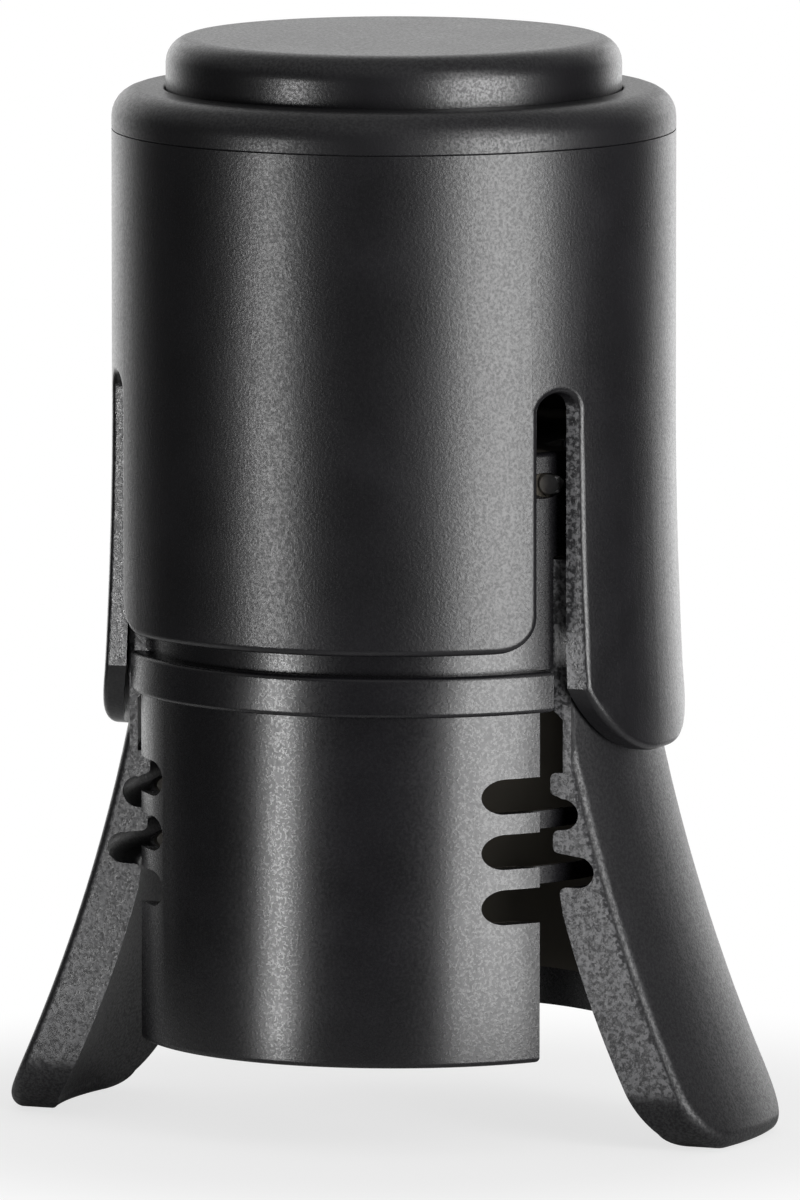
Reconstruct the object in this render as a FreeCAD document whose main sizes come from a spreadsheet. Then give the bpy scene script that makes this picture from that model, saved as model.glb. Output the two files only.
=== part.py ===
import FreeCAD, Part
import math
import os
import Sketcher

# Champagne stopper, in millimetres. The axis of the bottle is Z, the two wings lie along X, and the part
# stands at Z = 0 on the tips of its open wings. The cap and sleeve are up, as when a bottle is free.
# Pushed down over the flange ring, the tongues of the sleeve swing the wings in under the bottle's ring.

SIZES = [
    # heights, stacked from the floor up
    ("rim_height", 6.8, "floor to the rim of the cup"),
    ("cup_length", 26.95, "rim to the underside of the flange ring"),
    ("flange_thickness", 3.15, "height of the flange ring"),
    ("neck_length", 16.6, "flange ring to the top of the deck"),
    ("deck_thickness", 2.0, "deck that closes the neck"),
    ("hub_rise", 2.5, "guide hub above the deck"),
    ("travel", 8.0, "stroke of the sleeve"),
    ("headroom", 11.8, "cap web above the hub when the sleeve is down"),
    ("web_thickness", 2.7, "web of the cap"),
    ("seat_height", 1.0, "sleeve's top edge above the underside of the cap web"),
    ("spigot_drop", 2.2, "spigot below the underside of the cap web"),
    ("recess_depth", 1.5, "recess in the cap for the cover disc"),
    ("disc_rise", 3.9, "cover disc above the shoulder"),
    # sleeve
    ("sleeve_radius", 21.66, "outside of the sleeve and cap"),
    ("sleeve_wall", 1.06, "wall of the sleeve"),
    ("panel_gap", 1.7, "flange ring to the lower edge of the panels"),
    ("panel_corner", 2.7, "corner radius of the panels"),
    ("tongue_half_width", 9.9, "half the width of a tongue"),
    ("slot_width", 2.8, "slot between tongue and panel"),
    ("slot_height", 19.7, "slot above the panels' lower edge"),
    ("tongue_drop", 8.6, "tongue below the panels' lower edge"),
    ("tongue_flare", 0.94, "how far the tongue's foot stands out"),
    ("tongue_flare_height", 17.2, "start of the flare above the panels' lower edge"),
    ("tongue_foot_wall", 1.75, "wall of the tongue at its foot"),
    ("tongue_corner_width", 8.5, "width of the tongue's rounded corner"),
    ("tongue_corner_height", 5.5, "height of the tongue's rounded corner"),
    ("tongue_lead_in", 0.7, "chamfer inside the tongue's foot"),
    ("sleeve_edge_round", 0.6, "outer edges of the panels, slots and tongues"),
    # cap and cover disc
    ("shoulder_round", 2.2, "outer edge of the cap"),
    ("spigot_wall", 1.2, "wall of the cap's spigot"),
    ("spigot_clearance", 0.03, "spigot inside the sleeve"),
    ("shoulder_width", 4.16, "shoulder of the cap around the cover disc"),
    ("disc_round", 2.0, "upper edge of the cover disc"),
    ("disc_wall", 1.7, "wall of the cover disc"),
    ("disc_clearance", 0.08, "cover disc in its recess"),
    ("post_radius", 3.2, "guide post under the cap"),
    ("post_below_deck", 2.0, "guide post below the deck"),
    ("post_root", 1.5, "cone at the root of the guide post"),
    ("guide_clearance", 0.05, "guide post in the hub"),
    # cup
    ("flange_clearance", 0.1, "flange ring inside the sleeve"),
    ("cup_inset", 0.65, "outside of the cup inside the flange ring's edge"),
    ("neck_inset", 1.3, "outside of the neck inside the flange ring's edge"),
    ("cup_wall", 1.7, "wall of the cup"),
    ("rim_step", 0.5, "thinner wall at the rim"),
    ("rim_step_height", 3.0, "height of that thinner wall"),
    ("edge_round", 0.4, "small rounds on the rim and flange ring"),
    ("neck_wall", 1.6, "wall of the neck"),
    ("hub_radius", 6.2, "guide hub"),
    ("window_half_width", 11.15, "window in the cup"),
    ("flange_gap_half_width", 10.8, "the same window in the flange ring"),
    ("neck_gap_clearance", 0.1, "wing in the neck's window, each side"),
    ("neck_gap_height", 8.6, "window above the flange ring"),
    ("comb_reach", 14.9, "end of a comb slot from the wing's middle plane"),
    ("comb_height", 2.7, "height of a comb slot"),
    ("comb_pitch", 4.25, "from one comb slot to the next"),
    ("comb_drop", 6.3, "flange ring's underside to the first comb slot's middle"),
    ("comb_count", 3, "comb slots beside a window's edge"),
    ("hoop_thickness", 0.5, "hoops of the cup that cross its windows"),
    ("hoop_inset", 0.1, "hoop inside the finger it continues, at its bore, top and bottom"),
    # hinges
    ("hinge_inset", 4.1, "hinge axis from the wing's outer face"),
    ("hinge_drop", 2.5, "hinge axis below the top of the deck"),
    ("pin_radius", 1.0, "hinge pin"),
    ("pin_length", 18.0, "hinge pin"),
    ("pin_clearance", 0.05, "hinge pin in the wing"),
    ("knuckle_radius", 2.0, "knuckle of the wing"),
    ("knuckle_half_width", 5.5, "half the width of the knuckle"),
    ("knuckle_clearance", 0.15, "knuckle beside the lugs"),
    ("lug_width", 3.0, "lug beside the knuckle"),
    ("lug_depth", 2.8, "lug from its inner face outward"),
    ("lug_drop", 4.9, "lug below the top of the deck"),
    # wings
    ("wing_half_width", 9.2, "half the width of a wing"),
    ("wing_clearance", 0.2, "wing inside the sleeve"),
    ("arm_thickness", 1.9, "upper arm of the wing"),
    ("arm_top_drop", 5.7, "top of the arm below the hinge axis"),
    ("blade_thickness", 0.6, "thin stretch of the wing behind the bottle's ring"),
    ("blade_height", 4.1, "height of that stretch"),
    ("hook_drop", 22.1, "hook's flat top below the hinge axis"),
    ("hook_depth", 1.5, "nose of the hook from the wing's upper outer face"),
    ("tooth_depth", 1.3, "nose of the middle tooth from that face"),
    ("heel_depth", 0.8, "nose of the lowest tooth from that face"),
    ("nose_round", 0.5, "rounded nose of a tooth"),
    ("notch_pitch", 4.4, "from one tooth's flat top to the next"),
    ("notch_radius", 1.2, "rounded end of a notch"),
    ("notch_lift", 0.2, "slope of a tooth's underside"),
    ("notch_wall", 0.65, "wall left between a notch and the wing's outer face"),
    ("outer_curve", 131.0, "radius of the wing's outer curve"),
    ("outer_curve_rise", 1.0, "start of the outer curve above the tongue's foot"),
    ("inner_curve", 80.0, "radius of the wing's inner curve"),
    ("inner_curve_drop", 2.0, "start of the inner curve below the lowest tooth"),
    ("foot_spread", 10.35, "corner of the foot from the wing's upper outer face"),
    ("foot_thickness", 4.75, "wing at its foot"),
    ("foot_inner_round", 1.25, "inner round of the foot"),
    ("foot_corner", 4.6, "corner radius of the foot"),
    ("wing_edge_round", 1.0, "edges of the wing's outer face"),
    # plug core, plug seal and gasket
    ("core_radius", 7.2, "outside of the plug core"),
    ("core_wall", 1.5, "wall of the plug core"),
    ("core_floor", 1.4, "floor of the plug core"),
    ("core_flange_thickness", 1.5, "flange of the plug core"),
    ("floor_clearance", 0.5, "stop collar above the core's floor when the sleeve is down"),
    ("gasket_clearance", 0.65, "gasket inside the lugs"),
    ("gasket_rim", 2.5, "gasket around the core's flange"),
    ("gasket_thickness", 2.0, "gasket under the core's flange"),
    ("plug_wall", 1.5, "rubber around the core"),
    ("plug_rib", 0.5, "sealing rib of the plug"),
    ("plug_rib_pitch", 2.5, "from one rib to the next"),
    ("plug_rib_count", 2, "sealing ribs"),
    ("seal_clearance", 0.05, "rubber around the core, and gasket around the rubber"),
    # stop collar, its ring and screw
    ("collar_length", 3.8, "stop collar"),
    ("collar_clearance", 0.2, "stop collar in the core"),
    ("collar_gap", 0.05, "stop collar under the deck at the top stop"),
    ("collar_web", 0.6, "collar between the post and the screw's head"),
    ("ring_wire", 0.75, "radius of the friction ring's section"),
    ("ring_clearance", 0.05, "friction ring in the core"),
    ("screw_radius", 1.5, "screw's shank"),
    ("screw_head_radius", 2.7, "screw's head"),
    ("screw_head_height", 1.1, "screw's head"),
    ("screw_length", 8.0, "screw's shank"),
    # torsion springs
    ("spring_wire", 0.25, "radius of the spring wire"),
    ("spring_coil", 1.6, "mean radius of the coils"),
    ("spring_pitch", 0.7, "from one coil to the next"),
    ("spring_turns", 4, "coils"),
    ("spring_slot_half_width", 2.3, "half the gap in the knuckle for the coils"),
]

doc = FreeCAD.newDocument("champagne_stopper")
sheet = doc.addObject("Spreadsheet::Sheet", "Sizes")
for row, (alias, number, note) in enumerate(SIZES, start=1):
    sheet.set("A%d" % row, note)
    sheet.set("B%d" % row, str(number))
    sheet.setAlias("B%d" % row, alias)
doc.recompute()


class Size:
    """A length that knows its value and the expression that gives it from the sheet."""

    def __init__(self, value, text):
        self.value = float(value)
        self.text = text

    def __add__(self, other):
        other = size_of(other)
        return Size(self.value + other.value, "(%s + %s)" % (self.text, other.text))

    def __sub__(self, other):
        other = size_of(other)
        return Size(self.value - other.value, "(%s - %s)" % (self.text, other.text))

    def __mul__(self, other):
        other = size_of(other)
        return Size(self.value * other.value, "(%s * %s)" % (self.text, other.text))

    def __truediv__(self, other):
        other = size_of(other)
        return Size(self.value / other.value, "(%s / %s)" % (self.text, other.text))

    def __neg__(self):
        return Size(-self.value, "(-1 * %s)" % self.text)

    def __radd__(self, other):
        return size_of(other) + self

    def __rsub__(self, other):
        return size_of(other) - self

    def __rmul__(self, other):
        return size_of(other) * self


def size_of(number):
    """The number itself, or a plain number as a Size."""
    if isinstance(number, Size):
        return number
    return Size(number, repr(float(number)))


def root(square):
    return Size(math.sqrt(square.value), "sqrt(%s)" % square.text)


def chord(radius, offset):
    """How far a circle reaches along one axis at this offset along the other."""
    return root(radius * radius - offset * offset)


class Sheet:
    """Every alias of the sheet as a Size, by name."""


S = Sheet()
for alias, number, note in SIZES:
    setattr(S, alias, Size(sheet.get(alias), "Sizes." + alias))

# Levels and radii that several pieces share
FLANGE_UNDER = S.rim_height + S.cup_length
FLANGE_TOP = FLANGE_UNDER + S.flange_thickness
DECK_TOP = FLANGE_TOP + S.neck_length
DECK_UNDER = DECK_TOP - S.deck_thickness
HUB_TOP = DECK_TOP + S.hub_rise
WEB_UNDER = HUB_TOP + S.travel + S.headroom
WEB_TOP = WEB_UNDER + S.web_thickness
PARTING = WEB_UNDER + S.seat_height
SHOULDER = WEB_TOP + S.recess_depth
DISC_TOP = SHOULDER + S.disc_rise
PANEL_FOOT = FLANGE_TOP + S.panel_gap
TONGUE_FOOT = PANEL_FOOT - S.tongue_drop
SLOT_TOP = PANEL_FOOT + S.slot_height
SLEEVE_BORE = S.sleeve_radius - S.sleeve_wall
DISC_RADIUS = S.sleeve_radius - S.shoulder_width
FLANGE_RADIUS = SLEEVE_BORE - S.flange_clearance
CUP_RADIUS = FLANGE_RADIUS - S.cup_inset
NECK_RADIUS = FLANGE_RADIUS - S.neck_inset
CUP_BORE = CUP_RADIUS - S.cup_wall
NECK_BORE = NECK_RADIUS - S.neck_wall
WING_OUTER = SLEEVE_BORE - S.wing_clearance
HINGE_OFFSET = WING_OUTER - S.hinge_inset
HINGE_HEIGHT = DECK_TOP - S.hinge_drop
NECK_GAP = S.wing_half_width + S.neck_gap_clearance
LUG_INNER = S.knuckle_half_width + S.knuckle_clearance
KNUCKLE_NOTCH = HINGE_OFFSET - S.knuckle_radius - S.knuckle_clearance
GASKET_RADIUS = KNUCKLE_NOTCH - S.gasket_clearance
CORE_FLANGE_RADIUS = GASKET_RADIUS - S.gasket_rim
CORE_FLANGE_UNDER = DECK_UNDER - S.core_flange_thickness
PLUG_RADIUS = S.core_radius + S.plug_wall
CORE_BORE = S.core_radius - S.core_wall
CORE_FLOOR = DECK_UNDER - S.collar_gap - S.collar_length - S.travel - S.floor_clearance
POST_FOOT = DECK_UNDER - S.post_below_deck
FAR = S.sleeve_radius * 2


def origin_part(body, role):
    """One of the body's own origin planes or axes, found by its role."""
    for feature in body.Origin.OriginFeatures:
        if feature.Role == role:
            return feature
    raise ValueError("no origin part " + role)


def new_body(label):
    body = doc.addObject("PartDesign::Body", label)
    body.Label = label
    return body


def new_sketch(body, name, role, height=None):
    """A sketch on an origin plane of the body, lifted by height along the plane's normal."""
    sketch = body.newObject("Sketcher::SketchObject", name)
    sketch.AttachmentSupport = [(origin_part(body, role), "")]
    sketch.MapMode = "FlatFace"
    if height is not None:
        sketch.AttachmentOffset = FreeCAD.Placement(FreeCAD.Vector(0, 0, height.value), FreeCAD.Rotation())
        sketch.setExpression("AttachmentOffset.Base.z", height.text)
    return sketch


def bind(sketch, constraint, text):
    number = sketch.addConstraint(constraint)
    sketch.setExpression("Constraints[%d]" % number, text)


def pin_point(sketch, geometry, end, x, y):
    """Ties one point of the sketch to its place, measured from the origin."""
    if x.value == 0:
        sketch.addConstraint(Sketcher.Constraint("PointOnObject", geometry, end, -2))
    else:
        bind(sketch, Sketcher.Constraint("DistanceX", -1, 1, geometry, end, x.value), x.text)
    if y.value == 0:
        sketch.addConstraint(Sketcher.Constraint("PointOnObject", geometry, end, -1))
    else:
        bind(sketch, Sketcher.Constraint("DistanceY", -1, 1, geometry, end, y.value), y.text)


def arc_between(start, end, radius, turn):
    """The short arc from start to end; turn is 1 for a left-hand arc and -1 for a right-hand one."""
    middle = (start + end) * 0.5
    half = (end - start) * 0.5
    left = FreeCAD.Vector(-half.y, half.x, 0).normalize()
    depth = math.sqrt(max(0.0, radius ** 2 - half.Length ** 2))
    centre = middle + left * (depth * turn)
    bulge = centre - left * (radius * turn)
    return Part.Arc(start, bulge, end)


def outline(sketch, points):
    """A closed outline through the points.

    Each point is (x, y) when a straight line leads to it, or (x, y, radius, turn) when an arc does.
    A radius of None makes that arc a half circle.
    """
    places = [(size_of(point[0]), size_of(point[1])) for point in points]
    runs = []
    for index, point in enumerate(points):
        start = FreeCAD.Vector(places[index - 1][0].value, places[index - 1][1].value, 0)
        end = FreeCAD.Vector(places[index][0].value, places[index][1].value, 0)
        if len(point) == 2:
            runs.append((sketch.addGeometry(Part.LineSegment(start, end), False), 1, 2))
            continue
        radius, turn = point[2], point[3]
        span = (end - start).Length / 2
        arc = arc_between(start, end, span if radius is None else size_of(radius).value, turn)
        number = sketch.addGeometry(arc, False)
        ends = (1, 2) if turn > 0 else (2, 1)
        runs.append((number,) + ends)
        if radius is None:
            sketch.addConstraint(Sketcher.Constraint("Symmetric", number, 1, number, 2, number, 3))
        else:
            radius = size_of(radius)
            bind(sketch, Sketcher.Constraint("Radius", number, radius.value), radius.text)
    for index, (number, first, last) in enumerate(runs):
        follower, follower_first, follower_last = runs[(index + 1) % len(runs)]
        sketch.addConstraint(Sketcher.Constraint("Coincident", number, last, follower, follower_first))
        pin_point(sketch, number, last, places[index][0], places[index][1])


def circle(sketch, x, y, radius):
    x, y, radius = size_of(x), size_of(y), size_of(radius)
    centre = FreeCAD.Vector(x.value, y.value, 0)
    number = sketch.addGeometry(Part.Circle(centre, FreeCAD.Vector(0, 0, 1), radius.value), False)
    bind(sketch, Sketcher.Constraint("Radius", number, radius.value), radius.text)
    pin_point(sketch, number, 3, x, y)


def mirrored(points):
    """The points, then the same points on the other side of the plane X = 0, walked back."""
    other = [(-size_of(point[0]), point[1]) for point in reversed(points)]
    return list(points) + other


def revolve(body, name, points, angle=None, kind="PartDesign::Revolution"):
    """A ring, or a part of one, from a profile in the XZ plane, or a groove of that shape."""
    sketch = new_sketch(body, name + "_profile", "XZ_Plane")
    outline(sketch, points)
    feature = body.newObject(kind, name)
    feature.Profile = sketch
    feature.ReferenceAxis = (sketch, ["V_Axis"])
    if angle is None:
        feature.Angle = 360
    else:
        feature.Angle = angle
        feature.Midplane = True
    sketch.Visibility = False
    return feature


def pad_across(body, name, sketch, width):
    """A pad by the same amount to both sides of its sketch."""
    feature = body.newObject("PartDesign::Pad", name)
    feature.Profile = sketch
    feature.Length = width.value
    feature.setExpression("Length", width.text)
    feature.Midplane = True
    return feature


def cut_across(body, name, sketch, width=None):
    """A cut by the same amount to both sides of its sketch, or right through."""
    feature = body.newObject("PartDesign::Pocket", name)
    feature.Profile = sketch
    if width is None:
        feature.Type = "ThroughAll"
    else:
        feature.Length = width.value
        feature.setExpression("Length", width.text)
    feature.Midplane = True
    return feature


def turned(label, points):
    body = new_body(label)
    revolve(body, label + "_turning", points)
    return body


def round_edges(body, name, feature, radius, chosen):
    """Rounds every edge of the feature that the chosen test says yes to, face by face."""
    doc.recompute()
    edges = feature.Shape.Edges
    names = []
    for face in feature.Shape.Faces:
        for edge in face.Edges:
            if chosen(face.Surface, edge.BoundBox):
                number = [other.isSame(edge) for other in edges].index(True) + 1
                names.append("Edge%d" % number)
    fillet = body.newObject("PartDesign::Fillet", name)
    fillet.Base = (feature, sorted(set(names)))
    fillet.Radius = radius.value
    fillet.setExpression("Radius", radius.text)
    doc.recompute()
    return fillet


def curve_radius(surface):
    """The radius of a cylinder, or of the section of a ring-like face."""
    return getattr(surface, "MinorRadius", getattr(surface, "Radius", 0))


def make_sleeve():
    body = new_body("sleeve")
    revolve(body, "tube", [
        (SLEEVE_BORE, PANEL_FOOT),
        (S.sleeve_radius, PANEL_FOOT),
        (S.sleeve_radius, PARTING),
        (SLEEVE_BORE, PARTING),
    ])
    # Each tongue flares out along a wide arc that leaves the tube without a step
    flare_top = PANEL_FOOT + S.tongue_flare_height
    flare_length = S.tongue_flare_height + S.tongue_drop
    flare_curve = (flare_length * flare_length / S.tongue_flare + S.tongue_flare) / 2
    foot_outer = S.sleeve_radius + S.tongue_flare
    foot_inner = foot_outer - S.tongue_foot_wall
    tongue_profile = [
        (foot_inner + S.tongue_lead_in / 2, TONGUE_FOOT),
        (foot_outer, TONGUE_FOOT),
        (S.sleeve_radius, flare_top, flare_curve, -1),
        (SLEEVE_BORE, flare_top),
        (SLEEVE_BORE, PANEL_FOOT),
        (foot_inner, TONGUE_FOOT + S.tongue_lead_in * 2),
    ]
    slot_middle = S.tongue_half_width + S.slot_width / 2
    sweep = 2 * math.degrees(math.asin(slot_middle.value / foot_outer.value))
    right = revolve(body, "tongue_right", tongue_profile, sweep)
    left = body.newObject("PartDesign::Mirrored", "tongue_left")
    left.Originals = [right]
    left.MirrorPlane = (origin_part(body, "YZ_Plane"), [""])
    body.Tip = left
    # The slots run straight across, so one cut makes the slot beside both tongues
    slot_outer = S.tongue_half_width + S.slot_width
    arch = SLOT_TOP - S.slot_width / 2
    below = TONGUE_FOOT - S.tongue_drop
    slots = new_sketch(body, "slot_outlines", "YZ_Plane")
    for side in (1, -1):
        outline(slots, [
            (S.tongue_half_width * side, below),
            (S.tongue_half_width * side, arch),
            (slot_outer * side, arch, None, -side),
            (slot_outer * side, PANEL_FOOT + S.panel_corner),
            ((slot_outer + S.panel_corner) * side, PANEL_FOOT, S.panel_corner, side),
            ((slot_outer + S.panel_corner) * side, below),
        ])
    cut_across(body, "slots", slots)
    # Rounded corners at the foot of each tongue
    corners = new_sketch(body, "tongue_corner_outlines", "YZ_Plane")
    flat = S.tongue_half_width - S.tongue_corner_width
    rise = TONGUE_FOOT + S.tongue_corner_height
    sag = S.tongue_corner_width * S.tongue_corner_width + S.tongue_corner_height * S.tongue_corner_height
    round_radius = sag / (S.tongue_corner_height * 2)
    for side in (1, -1):
        outline(corners, [
            (flat * side, TONGUE_FOOT),
            (S.tongue_half_width * side, rise, round_radius, side),
            (slot_outer * side, rise),
            (slot_outer * side, below),
            (flat * side, below),
        ])
    cut = cut_across(body, "tongue_corners", corners)

    def outer_edge(surface, box):
        """All edges of the outer faces below the slots' tops, but not where a flare starts."""
        radius = curve_radius(surface)
        outside = abs(radius - S.sleeve_radius.value) < 1e-6 or abs(radius - flare_curve.value) < 1e-6
        flare_start = box.ZLength < 1e-6 and abs(box.ZMin - flare_top.value) < 1e-6
        return outside and box.ZMin < SLOT_TOP.value and not flare_start

    round_edges(body, "edge_rounds", cut, S.sleeve_edge_round, outer_edge)
    return body


def make_cap():
    spigot_outer = SLEEVE_BORE - S.spigot_clearance
    spigot_inner = spigot_outer - S.spigot_wall
    recess = DISC_RADIUS + S.disc_clearance
    round_foot = SHOULDER - S.shoulder_round
    body = turned("cap", [
        (0, POST_FOOT),
        (S.post_radius, POST_FOOT),
        (S.post_radius, WEB_UNDER - S.post_root),
        (S.post_radius + S.post_root, WEB_UNDER),
        (spigot_inner, WEB_UNDER),
        (spigot_inner, WEB_UNDER - S.spigot_drop),
        (spigot_outer, WEB_UNDER - S.spigot_drop),
        (spigot_outer, PARTING),
        (S.sleeve_radius, PARTING),
        (S.sleeve_radius, round_foot),
        (S.sleeve_radius - S.shoulder_round, SHOULDER, S.shoulder_round, 1),
        (recess, SHOULDER),
        (recess, WEB_TOP),
        (0, WEB_TOP),
    ])
    # The pilot hole for the stop screw, up the guide post
    hole = new_sketch(body, "screw_hole_outline", "XY_Plane", POST_FOOT)
    circle(hole, 0, 0, S.screw_radius)
    cut = body.newObject("PartDesign::Pocket", "screw_hole")
    cut.Profile = hole
    cut.Length = S.screw_length.value
    cut.setExpression("Length", S.screw_length.text)
    cut.Reversed = True
    return body


def make_cover_disc():
    inner = DISC_RADIUS - S.disc_wall
    return turned("cover_disc", [
        (inner, WEB_TOP),
        (DISC_RADIUS, WEB_TOP),
        (DISC_RADIUS, DISC_TOP - S.disc_round),
        (DISC_RADIUS - S.disc_round, DISC_TOP, S.disc_round, 1),
        (0, DISC_TOP),
        (0, DISC_TOP - S.disc_wall),
        (inner, DISC_TOP - S.disc_wall),
    ])


def make_cup():
    body = new_body("cup")
    edge = S.edge_round
    step = CUP_BORE + S.rim_step
    step_top = S.rim_height + S.rim_step_height
    guide = S.post_radius + S.guide_clearance
    revolve(body, "wall", [
        (step, S.rim_height),
        (CUP_RADIUS - edge, S.rim_height),
        (CUP_RADIUS, S.rim_height + edge, edge, 1),
        (CUP_RADIUS, FLANGE_UNDER),
        (FLANGE_RADIUS - edge, FLANGE_UNDER),
        (FLANGE_RADIUS, FLANGE_UNDER + edge, edge, 1),
        (FLANGE_RADIUS, FLANGE_TOP - edge),
        (FLANGE_RADIUS - edge, FLANGE_TOP, edge, 1),
        (NECK_RADIUS, FLANGE_TOP),
        (NECK_RADIUS, DECK_TOP - edge),
        (NECK_RADIUS - edge, DECK_TOP, edge, 1),
        (S.hub_radius, DECK_TOP),
        (S.hub_radius, HUB_TOP),
        (guide, HUB_TOP),
        (guide, DECK_UNDER),
        (NECK_BORE, DECK_UNDER),
        (NECK_BORE, FLANGE_TOP),
        (CUP_BORE, FLANGE_UNDER),
        (CUP_BORE, step_top),
        (step, step_top),
    ])
    # Lugs for the hinge pins stand inside the neck, two for each wing
    lugs = new_sketch(body, "lug_outlines", "XY_Plane", DECK_TOP - S.lug_drop)
    for side in (1, -1):
        for end in (1, -1):
            outline(lugs, [
                (KNUCKLE_NOTCH * side, LUG_INNER * end),
                ((KNUCKLE_NOTCH + S.lug_depth) * side, LUG_INNER * end),
                ((KNUCKLE_NOTCH + S.lug_depth) * side, (LUG_INNER + S.lug_width) * end),
                (KNUCKLE_NOTCH * side, (LUG_INNER + S.lug_width) * end),
            ])
    pad = body.newObject("PartDesign::Pad", "lugs")
    pad.Profile = lugs
    pad.Length = S.lug_drop.value
    pad.setExpression("Length", S.lug_drop.text)
    # The windows that the wings swing in, stepped at the flange ring and the neck
    windows = new_sketch(body, "window_outline", "YZ_Plane")
    gap_top = FLANGE_TOP + S.neck_gap_height
    outline(windows, mirrored([
        (S.window_half_width, 0),
        (S.window_half_width, FLANGE_UNDER),
        (S.flange_gap_half_width, FLANGE_UNDER),
        (S.flange_gap_half_width, FLANGE_TOP),
        (NECK_GAP, FLANGE_TOP),
        (NECK_GAP, gap_top),
    ]))
    cut_across(body, "windows", windows)
    # Notches in the neck and the deck's edge for the knuckles
    notches = new_sketch(body, "notch_outlines", "XY_Plane", gap_top)
    for side in (1, -1):
        outline(notches, [
            (KNUCKLE_NOTCH * side, -LUG_INNER),
            (FAR * side, -LUG_INNER),
            (FAR * side, LUG_INNER),
            (KNUCKLE_NOTCH * side, LUG_INNER),
        ])
    notch = body.newObject("PartDesign::Pocket", "knuckle_notches")
    notch.Profile = notches
    notch.Length = FAR.value
    notch.setExpression("Length", FAR.text)
    notch.Reversed = True
    # Three comb slots beside each edge of each window
    comb = new_sketch(body, "comb_outline", "YZ_Plane")
    comb_middle = FLANGE_UNDER - S.comb_drop
    comb_round = S.comb_height / 2
    comb_end = S.comb_reach - comb_round
    outline(comb, [
        (comb_end, comb_middle - comb_round),
        (comb_end, comb_middle + comb_round, None, 1),
        (-comb_end, comb_middle + comb_round),
        (-comb_end, comb_middle - comb_round, None, 1),
    ])
    slot = cut_across(body, "comb_slot", comb)
    doc.recompute()
    slots = body.newObject("PartDesign::LinearPattern", "comb_slots")
    slots.Originals = [slot]
    slots.Direction = (origin_part(body, "Z_Axis"), [""])
    slots.Reversed = True
    slots.Length = S.comb_pitch.value * (S.comb_count.value - 1)
    slots.setExpression("Length", (S.comb_pitch * (S.comb_count - 1)).text)
    slots.Occurrences = int(S.comb_count.value)
    slots.setExpression("Occurrences", S.comb_count.text)
    body.Tip = slots
    # Between the slots thin hoops go on across the windows, through the notches of the wings
    hoop_half = (S.comb_pitch - S.comb_height) / 2 - S.hoop_inset
    hoop_inner = CUP_BORE + S.hoop_inset
    hoop_outer = hoop_inner + S.hoop_thickness
    for hoop in range(int(S.comb_count.value) - 1):
        hoop_middle = comb_middle - S.comb_pitch * hoop - S.comb_pitch / 2
        revolve(body, "hoop_%d" % (hoop + 1), [
            (hoop_inner, hoop_middle - hoop_half),
            (hoop_outer, hoop_middle - hoop_half),
            (hoop_outer, hoop_middle + hoop_half),
            (hoop_inner, hoop_middle + hoop_half),
        ])
    # Hinge holes run straight through both lugs
    holes = new_sketch(body, "hinge_outlines", "XZ_Plane")
    for side in (1, -1):
        circle(holes, HINGE_OFFSET * side, HINGE_HEIGHT, S.pin_radius)
    cut_across(body, "hinge_holes", holes)
    return body


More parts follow.
